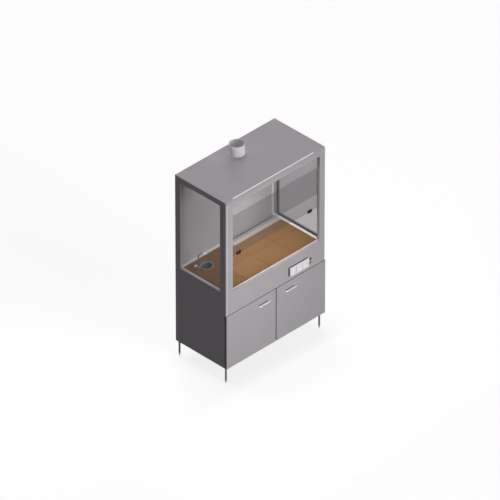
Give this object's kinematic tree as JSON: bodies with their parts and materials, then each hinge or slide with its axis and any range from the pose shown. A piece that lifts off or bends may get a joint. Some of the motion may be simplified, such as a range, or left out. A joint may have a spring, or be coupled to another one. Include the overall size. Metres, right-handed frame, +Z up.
{
  "type": "fume hood",
  "caption": "Laboratory fume hood on thin legs: glazed chamber with sliding sash, tiled worktop, cup sink and tap, fascia sockets, roof exhaust collar and a two-door cabinet.",
  "frame": {"origin": "centre of the overall box on the floor, under the middle of the hood", "axes": "+Z up, -Y out of the front where the sash and doors are, +X to the right as seen from the front"},
  "size_m": [1.2, 0.65, 2],
  "materials": {
    "painted_steel": "satin powder coat",
    "grey_laminate": "grey melamine faced board, satin",
    "white_laminate": "white high-pressure laminate",
    "white_plastic": "white moulded plastic",
    "white_duct": "white moulded duct collar",
    "opal_diffuser": "opal diffuser",
    "anodised_aluminium": "satin anodised",
    "sash_glass": "grey tinted safety glass",
    "side_glass": "grey tinted safety glass",
    "rubber": "black glazing rubber",
    "terracotta_tile": "ochre acid-resistant stoneware tile",
    "grout": "brown chemical-resistant grout",
    "grey_polypropylene": "grey moulded polypropylene",
    "slot_plate": "light grey plate",
    "steel": "brushed stainless steel",
    "zinc_steel": "bright zinc plated steel",
    "tap_chrome": "chrome plated brass",
    "pale_knob": "pale moulded plastic",
    "dark_plastic": "near-black moulded plastic",
    "handle_metal": "bright satin handle",
    "button_green": "dark green moulded plastic",
    "lens_green": "yellow-green translucent lens",
    "bezel": "dark grey bezel",
    "leg_steel": "grey painted steel tube"
  },
  "bodies": {
    "case": {"front_frame": "painted_steel", "roof_panel": "painted_steel", "exhaust_collar": "white_duct", "lamp_body": "anodised_aluminium", "light_strip": "opal_diffuser", "side_panel_left": "grey_laminate", "side_panel_right": "grey_laminate", "side_glass_left": "side_glass", "side_glass_right": "side_glass", "side_gaskets": "rubber", "lower_back_panel": "grey_laminate", "upper_back_panel": "grey_laminate", "back_liner": "white_laminate", "corner_trims": "white_plastic", "cabinet_floor": "grey_laminate", "front_rail": "grey_laminate", "rear_rail": "grey_laminate", "worktop_slab": "grey_laminate", "worktop_tiles": "terracotta_tile", "tile_grout": "grout", "border_strips": "white_plastic", "sash_landing_strip": "white_plastic", "rear_tile_strip": "white_plastic", "rear_slot_plate": "slot_plate", "cup_sink": "grey_polypropylene", "sink_strainer": "steel", "waste_trap": "white_plastic", "waste_pipe": "white_plastic", "tap_body": "tap_chrome", "tap_nut": "zinc_steel", "supply_pipe": "steel", "sash_guide_left": "anodised_aluminium", "sash_guide_right": "anodised_aluminium", "pivot_brackets": "zinc_steel", "door_catches": "white_plastic", "socket_base": "white_plastic", "socket_left": "white_plastic", "socket_middle": "white_plastic", "socket_right": "white_plastic", "switch_bezels": "bezel", "indicator_lens": "lens_green", "switch_contacts": "dark_plastic", "legs": "leg_steel", "cable_gland": "dark_plastic"},
    "front_sash": {"sash_front_pane": "sash_glass", "sash_grips": "dark_plastic"},
    "rear_sash": {"sash_rear_pane": "sash_glass"},
    "left_door": {"door_left": "grey_laminate", "door_handle_left": "handle_metal", "strike_plate_left": "zinc_steel"},
    "right_door": {"door_right": "grey_laminate", "door_handle_right": "handle_metal", "strike_plate_right": "zinc_steel"},
    "spout": {"tap_spout": "tap_chrome"},
    "knob": {"tap_knob": "pale_knob"},
    "button": {"push_button": "button_green"},
    "front_left_foot": {"foot_front_left": "zinc_steel"},
    "front_right_foot": {"foot_front_right": "zinc_steel"},
    "rear_left_foot": {"foot_rear_left": "zinc_steel"},
    "rear_right_foot": {"foot_rear_right": "zinc_steel"}
  },
  "joints": [
    {"name": "front_sash_slide", "type": "slide", "parent": "case", "child": "front_sash", "axis": [0, 0, 1], "range_m": [-0.333, 0.183]},
    {"name": "rear_sash_slide", "type": "slide", "parent": "case", "child": "rear_sash", "axis": [0, 0, 1], "range_m": [-0.075, 0]},
    {"name": "left_door_hinge", "type": "hinge", "parent": "case", "child": "left_door", "pos_m": [-0.59, -0.285, 0.444], "axis": [0, 0, -1], "range_deg": [0, 100]},
    {"name": "right_door_hinge", "type": "hinge", "parent": "case", "child": "right_door", "pos_m": [0.59, -0.285, 0.444], "axis": [0, 0, 1], "range_deg": [0, 100]},
    {"name": "spout_swivel", "type": "hinge", "parent": "case", "child": "spout", "pos_m": [-0.455, 0.197, 0.965], "axis": [0, 0, 1], "range_deg": [-90, 60]},
    {"name": "tap_knob_turn", "type": "hinge", "parent": "case", "child": "knob", "pos_m": [-0.489, 0.197, 0.952], "axis": [-1, 0, 0], "range_deg": [0, 270]},
    {"name": "button_press", "type": "slide", "parent": "case", "child": "button", "axis": [0, 1, 0], "range_m": [0, 0.004], "stiffness_N_per_m": 400, "springref_m": -0.002},
    {"name": "front_left_foot_turn", "type": "hinge", "parent": "case", "child": "front_left_foot", "pos_m": [-0.569, -0.254, 0.03], "axis": [0, 0, 1], "continuous": true},
    {"name": "front_right_foot_turn", "type": "hinge", "parent": "case", "child": "front_right_foot", "pos_m": [0.569, -0.254, 0.03], "axis": [0, 0, 1], "continuous": true},
    {"name": "rear_left_foot_turn", "type": "hinge", "parent": "case", "child": "rear_left_foot", "pos_m": [-0.569, 0.312, 0.03], "axis": [0, 0, 1], "continuous": true},
    {"name": "rear_right_foot_turn", "type": "hinge", "parent": "case", "child": "rear_right_foot", "pos_m": [0.569, 0.312, 0.03], "axis": [0, 0, 1], "continuous": true}
  ]
}
